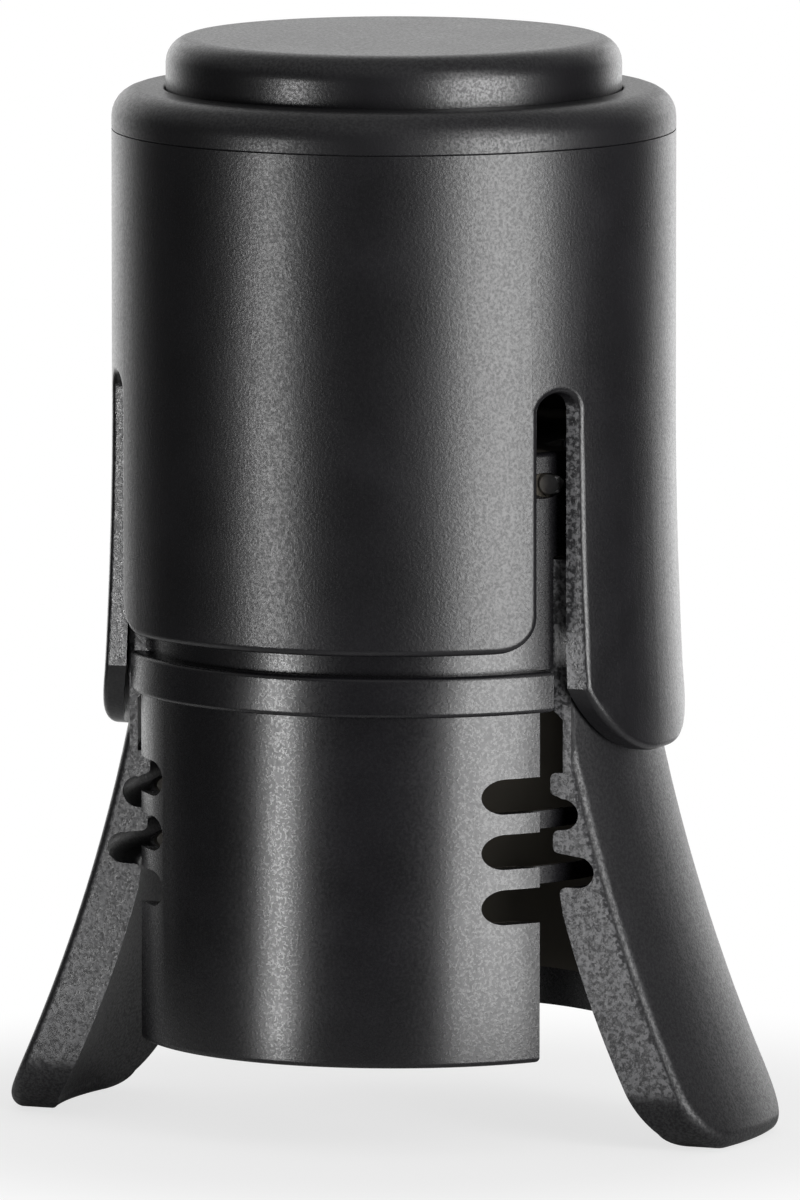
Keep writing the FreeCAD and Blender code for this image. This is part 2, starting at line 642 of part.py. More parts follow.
def make_wing(label, turn):
    """A wing, built on the +X side and turned about the bottle's axis to its place."""
    body = new_body(label)
    hook = HINGE_HEIGHT - S.hook_drop
    tooth = hook - S.notch_pitch
    heel = tooth - S.notch_pitch
    nose = S.nose_round
    blade = WING_OUTER - S.blade_thickness
    blade_top = hook + S.blade_height
    arm = WING_OUTER - S.arm_thickness
    arm_top = HINGE_HEIGHT - S.arm_top_drop
    step = arm - blade
    hook_nose = WING_OUTER - S.hook_depth
    tooth_nose = WING_OUTER - S.tooth_depth
    heel_nose = WING_OUTER - S.heel_depth
    # The outer face is an arc from under the tongue out to the corner of the foot
    curve_top = TONGUE_FOOT + S.outer_curve_rise
    foot_corner = WING_OUTER + S.foot_spread
    foot_inner = foot_corner - S.foot_thickness
    half_rise = curve_top / 2
    half_span = root(S.foot_spread * S.foot_spread + curve_top * curve_top) / 2
    to_centre = chord(S.outer_curve, half_span) / half_span
    centre_reach = WING_OUTER + S.foot_spread / 2 + half_rise * to_centre
    centre_height = half_rise + S.foot_spread / 2 * to_centre

    notch_height = S.notch_radius * 2 + S.notch_lift
    profile = [
        (foot_inner, S.foot_inner_round, S.foot_inner_round, -1),
        (heel_nose + S.notch_lift, heel - S.inner_curve_drop, S.inner_curve, -1),
        (heel_nose, heel - nose),
        (tooth_nose, heel + notch_height + nose),
        (tooth_nose, tooth - nose),
        (hook_nose, tooth + notch_height + nose),
        (hook_nose, hook - nose),
        (hook_nose + nose, hook, nose, -1),
        (blade, hook),
        (blade, blade_top),
        (arm, blade_top - step),
        (arm, arm_top),
        (WING_OUTER, arm_top),
        (WING_OUTER, curve_top),
        (foot_corner, 0, S.outer_curve, 1),
        (foot_inner + S.foot_inner_round, 0),
    ]
    # A little wider than the wing, which the parallel sides then trim
    sweep = 2 * math.degrees(math.asin(S.wing_half_width.value / hook_nose.value)) + 10
    revolve(body, "blade", profile, sweep)
    # The sides are cut parallel, and the foot has large round corners
    trim = new_sketch(body, "trim_outline", "YZ_Plane")
    outline(trim, [(-FAR, -FAR), (FAR, -FAR), (FAR, FAR * 2), (-FAR, FAR * 2)])
    straight = S.wing_half_width - S.foot_corner
    outline(trim, [
        (-straight, 0),
        (straight, 0),
        (S.wing_half_width, S.foot_corner, S.foot_corner, 1),
        (S.wing_half_width, HINGE_HEIGHT),
        (-S.wing_half_width, HINGE_HEIGHT),
        (-S.wing_half_width, S.foot_corner),
        (-straight, 0, S.foot_corner, 1),
    ][1:])
    sides = cut_across(body, "sides", trim)

    def outer_edge(surface, box):
        """The edges of the flared outer face, but not its top, which the tongue hides."""
        return abs(curve_radius(surface) - S.outer_curve.value) < 1e-6 and box.ZMin < TONGUE_FOOT.value

    round_edges(body, "edge_rounds", sides, S.wing_edge_round, outer_edge)
    # The notches between the teeth, each from the flat top of a tooth to the underside of the next
    for name, top, reach, above in (
        ("lower_notch", heel, heel_nose, tooth_nose),
        ("upper_notch", tooth, tooth_nose, hook_nose),
    ):
        outer_face = centre_reach - chord(S.outer_curve, centre_height - top - S.notch_radius)
        end = outer_face - S.notch_wall - S.notch_radius
        inside = hook_nose - S.hook_depth
        revolve(body, name, [
            (inside, top - nose),
            (reach, top - nose),
            (reach + nose, top, nose, -1),
            (end, top),
            (end, top + S.notch_radius * 2, None, 1),
            (above + nose, top + notch_height),
            (above, top + notch_height + nose, nose, -1),
            (inside, top + notch_height + nose),
        ], sweep, "PartDesign::Groove")
    # The narrower link and the knuckle on the hinge pin
    link = new_sketch(body, "link_outline", "XZ_Plane")
    link_outer = chord(WING_OUTER, S.knuckle_half_width) - S.wing_clearance
    overlap = S.arm_thickness
    outline(link, [
        (link_outer - overlap, arm_top - overlap),
        (link_outer, arm_top - overlap),
        (link_outer, arm_top + overlap),
        (HINGE_OFFSET + S.knuckle_radius, HINGE_HEIGHT),
        (HINGE_OFFSET - S.knuckle_radius + S.knuckle_clearance, HINGE_HEIGHT),
    ])
    pad_across(body, "link", link, S.knuckle_half_width * 2)
    knuckle = new_sketch(body, "knuckle_outline", "XZ_Plane")
    circle(knuckle, HINGE_OFFSET, HINGE_HEIGHT, S.knuckle_radius)
    pad_across(body, "knuckle", knuckle, S.knuckle_half_width * 2)
    # The gap in the knuckle for the torsion spring and its leg
    gap = new_sketch(body, "spring_gap_outline", "XZ_Plane")
    skin = HINGE_OFFSET + S.spring_coil + S.spring_wire * 2
    below_coils = HINGE_HEIGHT - S.knuckle_radius - S.spring_wire
    outline(gap, [
        (0, arm_top - overlap),
        (skin, arm_top - overlap),
        (skin, below_coils),
        (FAR, below_coils),
        (FAR, HINGE_HEIGHT + S.knuckle_radius * 2),
        (0, HINGE_HEIGHT + S.knuckle_radius * 2),
    ])
    cut_across(body, "spring_gap", gap, S.spring_slot_half_width * 2)
    bore = new_sketch(body, "bore_outline", "XZ_Plane")
    circle(bore, HINGE_OFFSET, HINGE_HEIGHT, S.pin_radius + S.pin_clearance)
    cut_across(body, "bore", bore)
    body.Placement = FreeCAD.Placement(FreeCAD.Vector(), FreeCAD.Rotation(FreeCAD.Vector(0, 0, 1), turn))
    return body


def make_hinge_pin(label, side):
    """A plain pin with chamfered ends, laid along Y through both lugs of one wing."""
    half = S.pin_length / 2
    chamfer = S.pin_radius / 4
    body = turned(label, [
        (0, -half),
        (S.pin_radius - chamfer, -half),
        (S.pin_radius, chamfer - half),
        (S.pin_radius, half - chamfer),
        (S.pin_radius - chamfer, half),
        (0, half),
    ])
    place = FreeCAD.Vector(HINGE_OFFSET.value * side, 0, HINGE_HEIGHT.value)
    body.Placement = FreeCAD.Placement(place, FreeCAD.Rotation(FreeCAD.Vector(1, 0, 0), 90))
    body.setExpression("Placement.Base.x", (HINGE_OFFSET * side).text)
    body.setExpression("Placement.Base.z", HINGE_HEIGHT.text)
    return body


def make_wing_spring(label, turn):
    """A torsion spring on the hinge pin: one leg on the deck's edge, the other behind the wing's arm."""
    coil, wire, pitch = S.spring_coil.value, S.spring_wire.value, S.spring_pitch.value
    turns = S.spring_turns.value + 0.5
    length = pitch * turns
    up_leg = S.hinge_drop.value
    down_leg = (S.arm_top_drop + S.arm_thickness / 2).value
    helix = Part.makeHelix(pitch, length, coil)
    helix.translate(FreeCAD.Vector(0, 0, -length / 2))
    helix.rotate(FreeCAD.Vector(), FreeCAD.Vector(1, 0, 0), 90)
    first = helix.Vertexes[0].Point
    last = helix.Vertexes[-1].Point
    edges = list(helix.Edges)
    down = Part.makeLine(first, first - FreeCAD.Vector(0, 0, down_leg))
    up = Part.makeLine(last, last + FreeCAD.Vector(0, 0, up_leg))
    solids = []
    for path in (Part.Wire(edges), Part.Wire([down]), Part.Wire([up])):
        start = path.Edges[0].valueAt(path.Edges[0].FirstParameter)
        along = path.Edges[0].tangentAt(path.Edges[0].FirstParameter)
        section = Part.Wire([Part.makeCircle(wire, start, along)])
        solids.append(path.makePipeShell([section], True, True))
    shape = solids[0].fuse(solids[1:]).removeSplitter()
    feature = doc.addObject("Part::Feature", label)
    feature.Label = label
    feature.Shape = shape.Solids[0]
    rotation = FreeCAD.Rotation(FreeCAD.Vector(0, 0, 1), turn)
    place = rotation.multVec(FreeCAD.Vector(HINGE_OFFSET.value, 0, HINGE_HEIGHT.value))
    feature.Placement = FreeCAD.Placement(place, rotation)
    return feature


def make_plug_core():
    """The blind tube that goes into the bottle's mouth, held to the underside of the deck."""
    foot = CORE_FLOOR - S.core_floor
    return turned("plug_core", [
        (0, foot),
        (S.core_radius, foot),
        (S.core_radius, CORE_FLANGE_UNDER),
        (CORE_FLANGE_RADIUS, CORE_FLANGE_UNDER),
        (CORE_FLANGE_RADIUS, DECK_UNDER),
        (CORE_BORE, DECK_UNDER),
        (CORE_BORE, CORE_FLOOR),
        (0, CORE_FLOOR),
    ])


def make_plug_seal():
    """The ribbed rubber tube around the core, which seals the bottle's mouth."""
    bore = S.core_radius + S.seal_clearance
    foot = CORE_FLOOR - S.core_floor + S.plug_wall / 2
    profile = [
        (bore, foot),
        (PLUG_RADIUS - S.plug_wall / 2, foot),
        (PLUG_RADIUS, foot + S.plug_wall),
    ]
    for rib in range(int(S.plug_rib_count.value)):
        middle = foot + S.plug_wall * 2 + S.plug_rib_pitch * rib
        profile += [
            (PLUG_RADIUS, middle - S.plug_rib),
            (PLUG_RADIUS + S.plug_rib, middle),
            (PLUG_RADIUS, middle + S.plug_rib),
        ]
    profile += [(PLUG_RADIUS, CORE_FLANGE_UNDER), (bore, CORE_FLANGE_UNDER)]
    return turned("plug_seal", profile)


def make_gasket():
    """The flat rubber ring for the bottle's lip, which wraps the core's flange."""
    bore = PLUG_RADIUS + S.seal_clearance
    under = CORE_FLANGE_UNDER - S.gasket_thickness
    return turned("gasket", [
        (bore, under),
        (GASKET_RADIUS, under),
        (GASKET_RADIUS, DECK_UNDER),
        (CORE_FLANGE_RADIUS + S.seal_clearance, DECK_UNDER),
        (CORE_FLANGE_RADIUS + S.seal_clearance, CORE_FLANGE_UNDER),
        (bore, CORE_FLANGE_UNDER),
    ])


def make_stop_collar():
    """The collar on the guide post's end, with a groove for the friction ring."""
    top = DECK_UNDER - S.collar_gap
    foot = top - S.collar_length
    outer = CORE_BORE - S.collar_clearance
    socket = S.post_radius + S.spigot_clearance
    head = S.screw_head_radius + S.collar_clearance
    groove = CORE_BORE - S.ring_clearance - S.ring_wire * 2
    middle = foot + S.collar_length / 2
    return turned("stop_collar", [
        (head, foot),
        (outer, foot),
        (outer, middle - S.ring_wire),
        (groove, middle - S.ring_wire),
        (groove, middle + S.ring_wire),
        (outer, middle + S.ring_wire),
        (outer, top),
        (socket, top),
        (socket, POST_FOOT),
        (S.screw_radius, POST_FOOT),
        (S.screw_radius, POST_FOOT - S.collar_web),
        (head, POST_FOOT - S.collar_web),
    ])


def make_friction_ring():
    body = new_body("friction_ring")
    sketch = new_sketch(body, "ring_section", "XZ_Plane")
    middle = DECK_UNDER - S.collar_gap - S.collar_length / 2
    circle(sketch, CORE_BORE - S.ring_clearance - S.ring_wire, middle, S.ring_wire)
    feature = body.newObject("PartDesign::Revolution", "ring")
    feature.Profile = sketch
    feature.ReferenceAxis = (sketch, ["V_Axis"])
    feature.Angle = 360
    return body


def make_stop_screw():
    head_top = POST_FOOT - S.collar_web
    head_foot = head_top - S.screw_head_height
    edge = S.screw_head_height / 3
    return turned("stop_screw", [
        (0, head_foot),
        (S.screw_head_radius - edge, head_foot),
        (S.screw_head_radius, head_foot + edge, edge, 1),
        (S.screw_head_radius, head_top),
        (S.screw_radius, head_top),
        (S.screw_radius, POST_FOOT + S.screw_length - S.screw_radius),
        (0, POST_FOOT + S.screw_length),
    ])


pieces = [
    make_cover_disc(),
    make_cap(),
    make_sleeve(),
    make_cup(),
    make_wing("wing_right", 0),
    make_wing("wing_left", 180),
    make_hinge_pin("hinge_pin_right", 1),
    make_hinge_pin("hinge_pin_left", -1),
    make_wing_spring("wing_spring_right", 0),
    make_wing_spring("wing_spring_left", 180),
    make_plug_core(),
    make_plug_seal(),
    make_gasket(),
    make_stop_collar(),
    make_friction_ring(),
    make_stop_screw(),
]
doc.recompute()

for item in doc.Objects:
    if "Invalid" in item.State or "Error" in item.State:
        raise RuntimeError("%s did not build: %s" % (item.Name, item.State))
for piece in pieces:
    if piece.Shape.isNull() or not piece.Shape.isValid() or len(piece.Shape.Solids) != 1:
        raise RuntimeError("%s is not one valid solid" % piece.Label)

os.makedirs("parts", exist_ok=True)
for piece in pieces:
    piece.Shape.exportStep("parts/%s.step" % piece.Label)
    box = piece.Shape.optimalBoundingBox(False)
    print("%-18s volume %8.1f mm3, x %6.2f %6.2f, y %6.2f %6.2f, z %6.2f %6.2f" % (
        piece.Label, piece.Shape.Volume, box.XMin, box.XMax, box.YMin, box.YMax, box.ZMin, box.ZMax))
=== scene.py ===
# %% [markdown]
# # A champagne stopper, dressed in Blender
#
# The stopper is a black moulding with two wings. It stands on the tips of the wings, with its sleeve up,
# as it does on a table before a bottle is closed. The solids come from CAD, at their real size in metres.
# This lesson gives them smooth shading, a moulder's surface and a plain studio around them.

# %% Load the solids
import math

import bmesh
import bpy
from mathutils import Matrix, Vector


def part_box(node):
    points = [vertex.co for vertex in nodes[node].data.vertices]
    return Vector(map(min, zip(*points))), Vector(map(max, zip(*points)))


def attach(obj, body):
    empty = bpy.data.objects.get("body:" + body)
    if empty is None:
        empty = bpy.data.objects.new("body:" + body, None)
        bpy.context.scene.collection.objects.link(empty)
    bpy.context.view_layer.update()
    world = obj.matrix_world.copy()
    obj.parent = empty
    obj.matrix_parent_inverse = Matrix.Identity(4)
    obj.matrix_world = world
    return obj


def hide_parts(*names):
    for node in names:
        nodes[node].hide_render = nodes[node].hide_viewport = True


MM = 0.001
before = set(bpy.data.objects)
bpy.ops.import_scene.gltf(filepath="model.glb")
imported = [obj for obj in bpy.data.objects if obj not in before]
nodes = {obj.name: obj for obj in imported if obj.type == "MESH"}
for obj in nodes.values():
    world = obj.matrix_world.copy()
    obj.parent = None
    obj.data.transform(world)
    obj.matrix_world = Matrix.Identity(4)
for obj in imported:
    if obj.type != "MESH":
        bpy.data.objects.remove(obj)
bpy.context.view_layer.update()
print("solids:", ", ".join(sorted(nodes)))

# %% [markdown]
# ## Writing node trees as plain expressions
#
# A material that varies over a surface is a small sum of masks and noises. Placing each Math node by hand
# hides that sum, so a socket is wrapped in a class whose operators add the Math nodes. Everything else
# comes from one method, which sets a node's own settings first and its sockets after that.

# %% A socket that can be added and multiplied


class Wire:
    """One output socket of a node tree, used as a number in an expression."""

    def __init__(self, tree, socket):
        self.tree = tree
        self.socket = socket

    def maths(self, operation, first, second=None):
        sockets = {0: first} if second is None else {0: first, 1: second}
        return self.tree.node("ShaderNodeMath", {"operation": operation}, sockets)

    def __add__(self, other):
        return self.maths("ADD", self, other)

    def __sub__(self, other):
        return self.maths("SUBTRACT", self, other)

    def __mul__(self, other):
        return self.maths("MULTIPLY", self, other)

    def __truediv__(self, other):
        return self.maths("DIVIDE", self, other)

    def __radd__(self, other):
        return self.maths("ADD", other, self)

    def __rsub__(self, other):
        return self.maths("SUBTRACT", other, self)

    def __rmul__(self, other):
        return self.maths("MULTIPLY", other, self)

    def __abs__(self):
        return self.maths("ABSOLUTE", self)

    def step(self, low, high):
        """Zero below low, one above high, and a soft rise between them."""
        return self.tree.node(
            "ShaderNodeMapRange",
            {"interpolation_type": "SMOOTHSTEP"},
            {"Value": self, "From Min": low, "From Max": high},
        )


class Tree:
    """A node tree that is written from its sockets outwards."""

    def __init__(self, tree):
        self.tree = tree

    def node(self, kind, settings=None, sockets=None, output=0):
        """Adds a node, sets it up, feeds its sockets and gives the wire from one output."""
        made = self.tree.nodes.new(kind)
        for name, value in (settings or {}).items():
            setattr(made, name, value)
        for name, value in (sockets or {}).items():
            if isinstance(value, Wire):
                self.tree.links.new(value.socket, made.inputs[name])
            else:
                made.inputs[name].default_value = value
        return Wire(self, made.outputs[output]) if len(made.outputs) else None

    def part(self, vector, axis):
        """One of the three numbers of a vector."""
        return self.node("ShaderNodeSeparateXYZ", {}, {"Vector": vector}, output=axis)


def new_material(name):
    """An empty material and the tree that fills it."""
    material = bpy.data.materials.new(name)
    material.use_nodes = True
    material.node_tree.nodes.clear()
    return material, Tree(material.node_tree)


def end_material(material, tree, shader):
    """Joins the shader to the output."""
    tree.node("ShaderNodeOutputMaterial", {"target": "ALL"}, {"Surface": shader})
    print("finish", material.name, "made with", len(material.node_tree.nodes), "nodes")


# The Mix node repeats its socket names for each kind of data, so its colour sockets go by their places.
MIX_FACTOR, MIX_FIRST, MIX_SECOND, MIX_RESULT = 0, 6, 7, 2


def mix_colours(tree, factor, first, second):
    """Mixes two colours, each given as three numbers or as a wire."""
    ends = [end if isinstance(end, Wire) else (*end, 1.0) for end in (first, second)]
    sockets = {MIX_FACTOR: factor, MIX_FIRST: ends[0], MIX_SECOND: ends[1]}
    return tree.node("ShaderNodeMix", {"data_type": "RGBA"}, sockets, output=MIX_RESULT)


print("writing classes ready:", Wire.__name__, Tree.__name__)

# %% [markdown]
# ## The masks of a moulding
#
# The mould of such a piece is finished by spark erosion, which leaves a fine, even grain. Three noises
# stand for it: wide patches where hands have been, the grain itself, and a coarser grain on the faces that
# were cut square across. Two masks say where things are: those cut faces, by the way they face and where
# they lie, and the inside of the cup, by its distance from the axis.

# %% Grain and masks

HANDLED_PATCH = 9.0
GRAIN = 0.24
COARSE_GRAIN = 0.36
OCTAVE_STRENGTH = 0.72
SEED_STEP = (0.37, 0.11, 0.23)
FOOT_TOP = (3.6 * MM, 5.0 * MM)
CUT_FACE_LIMIT = (13.2 * MM, 13.8 * MM)
SQUARE_ACROSS = (0.90, 0.99)
WALL_BLEND = 0.06


def noise(tree, place, size_mm, detail, seed):
    """Noise whose largest patches have the given size; the seed moves it elsewhere."""
    shift = tuple(seed * step for step in SEED_STEP)
    moved = tree.node("ShaderNodeVectorMath", {"operation": "ADD"}, {0: place, 1: shift})
    return tree.node(
        "ShaderNodeTexNoise",
        {},
        {"Vector": moved, "Scale": 1 / (size_mm * MM), "Detail": detail, "Roughness": OCTAVE_STRENGTH},
    )


def cut_faces(tree, place):
    """One on the square sides of wings and tongues, above the smooth end of the foot."""
    facing = tree.node("ShaderNodeNewGeometry", output="Normal")
    across = abs(tree.part(facing, "Y")).step(*SQUARE_ACROSS)
    above_foot = tree.part(place, "Z").step(*FOOT_TOP)
    near = 1.0 - abs(tree.part(place, "Y")).step(*CUT_FACE_LIMIT)
    return across * above_foot * near


def outside_of(tree, place, radius):
    """One outside a cylinder round the axis, zero inside it."""
    flat = tree.node("ShaderNodeVectorMath", {"operation": "MULTIPLY"}, {0: place, 1: (1.0, 1.0, 0.0)})
    reach = tree.node("ShaderNodeVectorMath", {"operation": "LENGTH"}, {0: flat}, output="Value")
    return reach.step((radius - WALL_BLEND) * MM, (radius + WALL_BLEND) * MM)


print("grain", GRAIN, "mm, coarse grain", COARSE_GRAIN, "mm")

# %% [markdown]
# ## Black moulded plastic
#
# The plastic is nearly black all through, so nearly all that the eye gets is gloss: broad bands of the
# studio's lamps, broken up by the grain. The tops of the grain are glossier than its hollows, so two
# shaders are mixed by the grain, and a bump of some hundredths of a millimetre tilts both. On the cut faces
# the coarse grain also has light flecks, which are painted sparkle, and a share of that light colour over
# the whole face is painted light. The inside of the cup is dull, and its colour is painted lighter and a
# little brown, standing in for the lit inner wall seen through the slots.

# %% The moulded finishes

BLACK = (0.0042, 0.0040, 0.0048)
HANDLED_BLACK = tuple(v * 1.6 for v in BLACK)
# light grey painted on the cut faces: painted sparkle on the coarse grain, and a share of it is painted
# light over the whole face
PAINTED_GLINT = (0.130, 0.130, 0.134)
# lighter brownish colours for the inside of the cup: painted light for the inner wall lit through the slots
PAINTED_LIT_INSIDE_DARK = (0.050, 0.044, 0.034)
PAINTED_LIT_INSIDE_LIGHT = (0.075, 0.068, 0.056)
USUAL_GLOSS = 0.5
HANDLING_SPREAD = 0.06
HANDLED_EDGE = (0.30, 0.75)
TOP_EDGE = (0.36, 0.64)
HOLLOW_DULLER = 0.08
GLINT_EDGE = (0.44, 0.60)
# share of the painted sparkle colour laid on every cut face: painted light
CUT_FACE_PAINTED_LIGHT = 0.15
GLINT_FLECK_DULLER = 0.12
CUT_GLOSSIER = 0.10
INSIDE_ROUGH = 0.62
INSIDE_SPREAD = 0.2
INSIDE_GLOSS = 0.2


def plastic(tree, colour, rough, gloss, normal):
    return tree.node(
        "ShaderNodeBsdfPrincipled",
        {},
        {"Base Color": colour, "Roughness": rough, "Specular IOR Level": gloss, "Normal": normal},
    )


def moulded(name, rough, height, sparkle, cut_height=0.0, hollow=0.0):
    """A grained black plastic. height and cut_height are the heights of the grain and of the coarser grain
    on cut faces, and hollow is the radius inside which the moulding is duller and painted lighter and a
    little brown for the lit inner wall, all in millimetres."""
    material, tree = new_material(name)
    place = tree.node("ShaderNodeTexCoord", output="Object")
    handling = noise(tree, place, HANDLED_PATCH, 2.0, 1.0)
    grain = noise(tree, place, GRAIN, 3.0, 2.0)
    relief = (grain - 0.5) * height
    roughness = rough - HANDLING_SPREAD / 2 + handling * HANDLING_SPREAD
    colour = mix_colours(tree, handling.step(*HANDLED_EDGE), BLACK, HANDLED_BLACK)
    if cut_height:
        cut = cut_faces(tree, place)
        coarse = noise(tree, place, COARSE_GRAIN, 3.0, 4.0)
        # flecks of the coarse grain that get the light colour: painted sparkle
        glint_flecks = coarse.step(*GLINT_EDGE)
        relief = relief + cut * ((coarse - 0.5) * cut_height)
        roughness = roughness + cut * (glint_flecks * GLINT_FLECK_DULLER - CUT_GLOSSIER)
        # the cut faces take the light colour at the flecks and a share of it everywhere: painted sparkle and
        # painted light
        painted_glint_share = CUT_FACE_PAINTED_LIGHT + glint_flecks * (1.0 - CUT_FACE_PAINTED_LIGHT)
        colour = mix_colours(tree, cut * painted_glint_share, colour, PAINTED_GLINT)
    normal = tree.node("ShaderNodeBump", {}, {"Strength": 1.0, "Distance": MM, "Height": relief})
    tops = plastic(tree, colour, roughness, USUAL_GLOSS + sparkle, normal)
    hollows = plastic(tree, colour, roughness + HOLLOW_DULLER, USUAL_GLOSS - sparkle, normal)
    shader = tree.node("ShaderNodeMixShader", {}, {0: grain.step(*TOP_EDGE), 1: hollows, 2: tops})
    if hollow:
        # inside the cup the colour is painted lighter and a little brown: painted light for the lit inner
        # wall
        painted_lit_inside = mix_colours(tree, handling, PAINTED_LIT_INSIDE_DARK, PAINTED_LIT_INSIDE_LIGHT)
        dull = plastic(tree, painted_lit_inside, INSIDE_ROUGH + grain * INSIDE_SPREAD, INSIDE_GLOSS, normal)
        outside = outside_of(tree, place, hollow)
        shader = tree.node("ShaderNodeMixShader", {}, {0: outside, 1: dull, 2: shader})
    end_material(material, tree, shader)
    return material


sleeve_black = moulded("sleeve_black", 0.29, 0.020, 0.07, cut_height=0.03)
cap_black = moulded("cap_black", 0.33, 0.016, 0.14)
disc_black = moulded("disc_black", 0.29, 0.014, 0.14)
cup_black = moulded("cup_black", 0.24, 0.012, 0.06, hollow=18.5)
wing_black = moulded("wing_black", 0.42, 0.020, 0.20, cut_height=0.04)
inner_black = moulded("inner_black", 0.55, 0.018, 0.10)

# %% [markdown]
# ## Rubber and steel inside
#
# The plug, the gasket and the friction ring are black rubber: a matt skin with a dusty bloom. The pins,
# springs and the screw are bright drawn steel, with fine lines along Y, the way the pins lie.

# %% Rubber and steel

BLOOM_SCALE = 260.0
SKIN_SCALE = 3200.0
SKIN_HEIGHT = 0.01
RUBBER_BLACK = (0.010, 0.010, 0.010)
RUBBER_BLOOM = (0.028, 0.027, 0.027)
BLOOM_EDGE = (0.35, 0.8)
RUBBER_ROUGH = 0.62
RUBBER_SPREAD = 0.2
DRAWN_SCALE = (9000.0, 500.0, 9000.0)
DRAWN_HEIGHT = 0.002
STEEL_DARK = (0.46, 0.46, 0.47)
STEEL_LIGHT = (0.62, 0.62, 0.63)
STEEL_ROUGH = 0.24
STEEL_SPREAD = 0.16


def rubber(name):
    material, tree = new_material(name)
    place = tree.node("ShaderNodeTexCoord", output="Object")
    bloom = tree.node("ShaderNodeTexNoise", {}, {"Vector": place, "Scale": BLOOM_SCALE, "Detail": 4.0})
    fine = tree.node("ShaderNodeTexNoise", {}, {"Vector": place, "Scale": SKIN_SCALE, "Detail": 2.0})
    colour = mix_colours(tree, bloom.step(*BLOOM_EDGE), RUBBER_BLACK, RUBBER_BLOOM)
    normal = tree.node("ShaderNodeBump", {}, {"Distance": MM, "Height": fine * SKIN_HEIGHT})
    rough = RUBBER_ROUGH + bloom * RUBBER_SPREAD
    end_material(material, tree, plastic(tree, colour, rough, USUAL_GLOSS, normal))
    return material


def steel(name):
    material, tree = new_material(name)
    place = tree.node("ShaderNodeTexCoord", output="Object")
    lines = tree.node("ShaderNodeMapping", {}, {"Vector": place, "Scale": DRAWN_SCALE})
    drawn = tree.node("ShaderNodeTexNoise", {}, {"Vector": lines, "Scale": 1.0, "Detail": 2.0})
    normal = tree.node("ShaderNodeBump", {}, {"Distance": MM, "Height": drawn * DRAWN_HEIGHT})
    shader = tree.node(
        "ShaderNodeBsdfPrincipled",
        {},
        {
            "Base Color": mix_colours(tree, drawn, STEEL_DARK, STEEL_LIGHT),
            "Metallic": 1.0,
            "Roughness": STEEL_ROUGH + drawn * STEEL_SPREAD,
            "Normal": normal,
        },
    )
    end_material(material, tree, shader)
    return material


soft_rubber = rubber("soft_rubber")
bright_steel = steel("bright_steel")

# %% [markdown]
# ## Smooth copies of the CAD pieces
#
# A CAD solid arrives as loose triangles, so each one would catch the light by itself. A copy is welded
# together, its faces are smoothed, and only the edges that turn by more than a few degrees are kept
# sharp. The shape isn't changed, and the copy stands for the solid.

# %% Weld, smooth and dress a CAD piece

SHARP = math.radians(24)
WELD = 1e-6
EVEN_WEIGHT = 80


def smooth(mesh, mend):
    """Mends a mesh, smooths its faces and keeps only the real edges sharp."""
    shell = bmesh.new()
    shell.from_mesh(mesh)
    mend(shell)
    for face in shell.faces:
        face.smooth = True
    for edge in shell.edges:
        edge.smooth = len(edge.link_faces) == 2 and edge.calc_face_angle(0.0) < SHARP
    shell.to_mesh(mesh)
    shell.free()


def weld(shell):
    bmesh.ops.remove_doubles(shell, verts=shell.verts, dist=WELD)


def turn_outward(shell):
    bmesh.ops.recalc_face_normals(shell, faces=shell.faces)


def placed(name, mesh):
    """Puts a mesh in the scene and lets its large faces set the shading beside its rounds."""
    piece = bpy.data.objects.new(name, mesh)
    bpy.context.scene.collection.objects.link(piece)
    even = piece.modifiers.new("even_normals", "WEIGHTED_NORMAL")
    even.keep_sharp = True
    even.weight = EVEN_WEIGHT
    print(name, len(mesh.vertices), "points,", len(mesh.polygons), "faces")
    return piece


def dress(node, body, material):
    """Puts a smooth copy of a CAD piece in its place, on the same body."""
    mesh = nodes[node].data.copy()
    mesh.name = node + "_smooth"
    smooth(mesh, weld)
    mesh.materials.clear()
    mesh.materials.append(material)
    piece = placed(node + "_smooth", mesh)
    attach(piece, body)
    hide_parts(node)


dress("sleeve", "sleeve", sleeve_black)
dress("cup", "cup", cup_black)
dress("wing_right", "wing_right", wing_black)
dress("wing_left", "wing_left", wing_black)
dress("plug_core", "cup", inner_black)
dress("stop_collar", "sleeve", inner_black)
dress("gasket", "cup", soft_rubber)
dress("plug_seal", "cup", soft_rubber)
dress("friction_ring", "sleeve", soft_rubber)
dress("hinge_pin_right", "cup", bright_steel)
dress("hinge_pin_left", "cup", bright_steel)
dress("stop_screw", "sleeve", bright_steel)

# %% [markdown]
# ## Turned pieces with Geometry Nodes
#
# The cover disc and the cap are rings: one outline, turned about the axis. That is a rule, so it is
# written as a node tree. The outline is the object's own mesh, a chain of points in the XZ plane. The tree
# lays a grid with one column for each point of the outline, gives every grid point the reach and height
# of its outline point, and turns the rows about the axis.

# %% A tree that turns an outline


def new_group(name, inputs):
    """A geometry tree with named inputs; gives the group, its tree and the wires from the inputs."""
    group = bpy.data.node_groups.new(name, "GeometryNodeTree")
    group.interface.new_socket("Geometry", in_out="INPUT", socket_type="NodeSocketGeometry")
    for label, kind, value in inputs:
        socket = group.interface.new_socket(label, in_out="INPUT", socket_type=kind)
        if value is not None:
            socket.default_value = value
    group.interface.new_socket("Geometry", in_out="OUTPUT", socket_type="NodeSocketGeometry")
    tree = Tree(group)
    entry = group.nodes.new("NodeGroupInput")
    given = {socket.name: Wire(tree, socket) for socket in entry.outputs if socket.name}
    return group, tree, given


def end_group(group, tree, geometry, material):
    """Realises the instances, sets the material and ends the tree."""
    solid = tree.node("GeometryNodeRealizeInstances", {}, {"Geometry": geometry})
    done = tree.node("GeometryNodeSetMaterial", {}, {"Geometry": solid, "Material": material})
    out = group.nodes.new("NodeGroupOutput")
    group.links.new(done.socket, out.inputs["Geometry"])
    print("tree", group.name, "has", len(group.nodes), "nodes")


